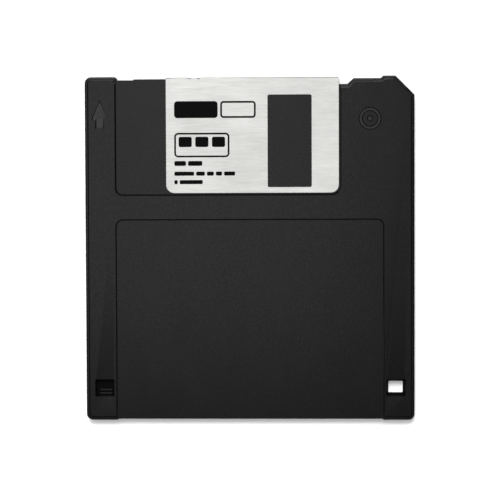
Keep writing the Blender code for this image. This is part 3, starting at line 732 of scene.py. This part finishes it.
# %% Print the frame and its blocks
frame_right, frame_low, frame_high = -5.4 * MM, 25.0 * MM, 31.7 * MM
frame_radius, frame_line = 1.1 * MM, 0.48 * MM
block_low, block_high, block_radius = 27.8 * MM, 30.6 * MM, 0.5 * MM
block_width, block_gap = 3.6 * MM, 0.95 * MM
first_block = print_left + 1.2 * MM
block_lefts = [first_block + step * (block_width + block_gap) for step in range(3)]
blocks = [
    rounded_box(left, left + block_width, block_low, block_high, block_radius) for left in block_lefts
]
print_frame = framed(print_left, frame_right, frame_low, frame_high, frame_radius, frame_line)
printed("print_frame", print_frame + blocks)

# %% Print the rows of dashes
heading_height, word_height = 1.3 * MM, 1.1 * MM
heading_low, upper_low, lower_low = 22.7 * MM, 20.0 * MM, 17.7 * MM
small_rows = dash_row(heading_low, heading_height, [3.2 * MM, 3.9 * MM])
small_rows += dash_row(upper_low, word_height, [5.4 * MM, 2.4 * MM, 1.9 * MM, 1.7 * MM, 3.0 * MM])
small_rows += dash_row(lower_low, word_height, [0.9 * MM, 6.3 * MM])
printed("small_print", small_rows)

# %% [markdown]
# The magnetic disk is a film with a brown-black coating that was polished while it turned. The
# coating is smooth, with very faint rings. The hub is pressed from steel sheet and turned, so its
# rings are stronger. A noise that reads only the distance from the spindle gives rings without a seam.

# %% Define rings round the spindle
spindle_y = next(joint["pos_m"][1] for joint in frame["joints"] if joint["name"] == "media_spin")


def rings(finish, size, detail):
    """Grey rings round the spindle, about this wide."""
    centred = finish.nodes.new("ShaderNodeVectorMath")
    centred.inputs[1].default_value = (0, -spindle_y, 0)
    centred.operation = "ADD"
    flat = finish.nodes.new("ShaderNodeVectorMath")
    flat.operation = "MULTIPLY"
    flat.inputs[1].default_value = (1, 1, 0)
    radius = finish.nodes.new("ShaderNodeVectorMath")
    radius.operation = "LENGTH"
    texture = finish.nodes.new("ShaderNodeTexNoise")
    texture.noise_dimensions = "1D"
    texture.inputs["Scale"].default_value = 1 / size
    texture.inputs["Detail"].default_value = detail
    finish.links.new(finish.space, centred.inputs[0])
    finish.links.new(centred.outputs["Vector"], flat.inputs[0])
    finish.links.new(flat.outputs["Vector"], radius.inputs[0])
    finish.links.new(radius.outputs["Value"], texture.inputs["W"])
    return texture.outputs["Fac"]


print("The spindle stands at Y", round(spindle_y / MM, 3), "mm")

# %% Coat the magnetic disk
coating = Finish("disk_coating", (0.016, 0.010, 0.008), 0.2, specular=0.12)
polish = rings(coating, 0.5 * MM, 4)
oxide = coating.toned(coating.ranged(polish, 0, 1), (0.013, 0.009, 0.007), (0.02, 0.013, 0.010))
coating.feed("Base Color", oxide)
coating.feed("Roughness", coating.ranged(polish, 0.16, 0.26))
coating.feed("Normal", coating.bump(polish, 0.001 * MM, 0.5))

media_film = copied("media_film", "magnetic_disk")
media_film.data.set_sharp_from_angle(angle=CREASE)
dress(media_film, coating.material)

# %% Press and turn the hub
hub_edge = 0.1 * MM
hub_steel = Finish("hub_steel", (0.6, 0.6, 0.59), 0.3, metallic=1.0)
turning = rings(hub_steel, 0.12 * MM, 3)
clouds = hub_steel.noise(3 * MM, 3)
sheen = hub_steel.toned(hub_steel.ranged(clouds, 0, 1), (0.52, 0.52, 0.50), (0.63, 0.62, 0.60))
hub_steel.feed("Base Color", sheen)
hub_steel.feed("Roughness", hub_steel.ranged(turning, 0.24, 0.38))
hub_steel.feed("Normal", hub_steel.bump(turning, 0.0015 * MM, 0.6))

media_hub = copied("media_hub", "hub")
round_edges(media_hub, hub_edge)
dress(media_hub, hub_steel.material)

# %% [markdown]
# Cloth liners wipe the disk. They are non-woven: thin fibres pressed together in all directions. The
# pattern is three sets of long lumps, turned against each other, which raise the surface a little.
# The lifter is a strip of amber film, and the hub is stuck on with a ring of pale glue. These keep
# their CAD shapes, so the finish goes onto the nodes.

# %% Press the liners' cloth
fibre_size = (1.6 * MM, 0.07 * MM, 0.3 * MM)
fibre_angles = (0.3, 1.4, 2.4)
fleece = Finish("liner_fleece", (0.72, 0.72, 0.70), 0.9, specular=0.2)


def fibres(finish, angle):
    """Long thin lumps that run at this angle."""
    turned = finish.nodes.new("ShaderNodeMapping")
    turned.inputs["Rotation"].default_value = (0, 0, angle)
    turned.inputs["Scale"].default_value = [1 / size for size in fibre_size]
    texture = finish.nodes.new("ShaderNodeTexNoise")
    texture.inputs["Scale"].default_value = 1.0
    texture.inputs["Detail"].default_value = 2.0
    finish.links.new(finish.space, turned.inputs["Vector"])
    finish.links.new(turned.outputs["Vector"], texture.inputs["Vector"])
    return texture.outputs["Fac"]


lengthwise, crosswise, slanting = (fibres(fleece, angle) for angle in fibre_angles)
web = fleece.mixed(0.5, lengthwise, fleece.mixed(0.5, crosswise, slanting))
cloth = fleece.toned(fleece.ranged(web, 0, 1), (0.60, 0.60, 0.58), (0.80, 0.80, 0.78))
fleece.feed("Base Color", cloth)
fleece.feed("Normal", fleece.bump(web, 0.03 * MM, 0.8))
print("Cloth:", fleece.material.name, "with", len(fibre_angles), "sets of fibres")

# %% Make the lifter's film and the glue
amber_film = Finish("amber_film", (0.30, 0.14, 0.05), 0.25)
amber_film.feed("Roughness", amber_film.ranged(amber_film.noise(2 * MM, 3), 0.18, 0.34))
pale_glue = Finish("pale_glue", (0.55, 0.47, 0.30), 0.5)
pale_glue.feed("Roughness", pale_glue.ranged(pale_glue.noise(0.6 * MM, 3), 0.4, 0.6))
print("Film and glue:", amber_film.material.name, pale_glue.material.name)

# %% Finish the pieces that keep their shapes
def dress_node(node, finish):
    """Gives a CAD node its finish and leaves its shape alone."""
    shown = frame["nodes"][node]
    shown.data.materials.clear()
    shown.data.materials.append(finish.material)
    print(node, "has", finish.material.name)


dress_node("front_liner", fleece)
dress_node("back_liner", fleece)
dress_node("liner_lifter", amber_film)
dress_node("hub_glue_ring", pale_glue)

# %% [markdown]
# The shutter's spring is steel wire with a hooked leg in the case, a small coil and a hooked leg in
# the shutter's tongue. It is a round curve along the same route as the CAD wire, with a rounder
# section and bent hooks.

# %% Measure the spring
wire = 0.35 * MM
coil_radius = 1.6 * MM
coil_turns = 2
coil_steps = 32
coil_centre = Vector((-27.17, 35.65)) * MM
anchor = Vector((-38.7, 42.4)) * MM
hook = Vector((-15.0, 44.46)) * MM
anchor_leg = 1.1 * MM
hook_leg = 0.75 * MM
bend_radius = 0.45 * MM
bend_steps = 5

wire_low, wire_high = (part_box("shutter_spring")[end].z for end in (0, 1))
coil_top = wire_high - wire / 2
coil_bottom = wire_low + wire / 2
print("The coil's wire falls from", round(coil_top / MM, 3), "to", round(coil_bottom / MM, 3), "mm up")

# %% Define the spring's bends and its coil
def bent(before, corner, after):
    """The points of a rounded corner between two straight stretches."""
    start = corner + (before - corner).normalized() * bend_radius
    end = corner + (after - corner).normalized() * bend_radius
    shares = [step / bend_steps for step in range(bend_steps + 1)]
    return [start * (1 - s) ** 2 + corner * 2 * s * (1 - s) + end * s**2 for s in shares]


def coil_points():
    """The points of the coil, from where the held leg touches it to where the other leg leaves."""
    to_anchor, to_hook = anchor - coil_centre, hook - coil_centre
    start = math.atan2(to_anchor.y, to_anchor.x) + math.acos(coil_radius / to_anchor.length)
    end = math.atan2(to_hook.y, to_hook.x) - math.acos(coil_radius / to_hook.length)
    turn = (end - start) % math.tau + coil_turns * math.tau
    steps = math.ceil(turn / math.tau * coil_steps)
    points = []
    for step in range(steps + 1):
        share = step / steps
        angle = start + turn * share
        arm = Vector((math.cos(angle), math.sin(angle))) * coil_radius
        level = coil_top + (coil_bottom - coil_top) * share
        points.append(Vector((*(coil_centre + arm), level)))
    return points


# %% Join the spring's route
coil = coil_points()
anchor_corner = Vector((anchor.x, anchor.y, coil_top))
hook_corner = Vector((hook.x, hook.y, coil_bottom))
anchor_end = anchor_corner - Vector((0, 0, anchor_leg))
hook_end = hook_corner + Vector((0, 0, hook_leg))
route = [anchor_end] + bent(anchor_end, anchor_corner, coil[0])
route += coil + bent(coil[-1], hook_corner, hook_end) + [hook_end]
print("The spring's route has", len(route), "points")

# %% Wind the spring
wire_curve = bpy.data.curves.new("spring_wire", "CURVE")
wire_curve.dimensions = "3D"
wire_curve.bevel_depth = wire / 2
wire_curve.bevel_resolution = 4
wire_curve.use_fill_caps = True
spline = wire_curve.splines.new("POLY")
spline.points.add(len(route) - 1)
for point, place in zip(spline.points, route):
    point.co = (*place, 1)
wire_drawn = placed("spring_wire_drawn", wire_curve)
wire_mesh = finished_mesh(wire_drawn)
bpy.data.objects.remove(wire_drawn)
spring_wire = placed("spring_wire", wire_mesh)

drawn_steel = Finish("drawn_steel", (0.5, 0.5, 0.48), 0.28, metallic=1.0)
drawn_steel.feed("Roughness", drawn_steel.ranged(drawn_steel.noise(0.4 * MM, 2), 0.2, 0.36))
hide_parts("shutter_spring")
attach(spring_wire, "case")
dress(spring_wire, drawn_steel.material)
print(spring_wire.name, "has", len(wire_mesh.polygons), "faces")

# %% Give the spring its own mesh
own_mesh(spring_wire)
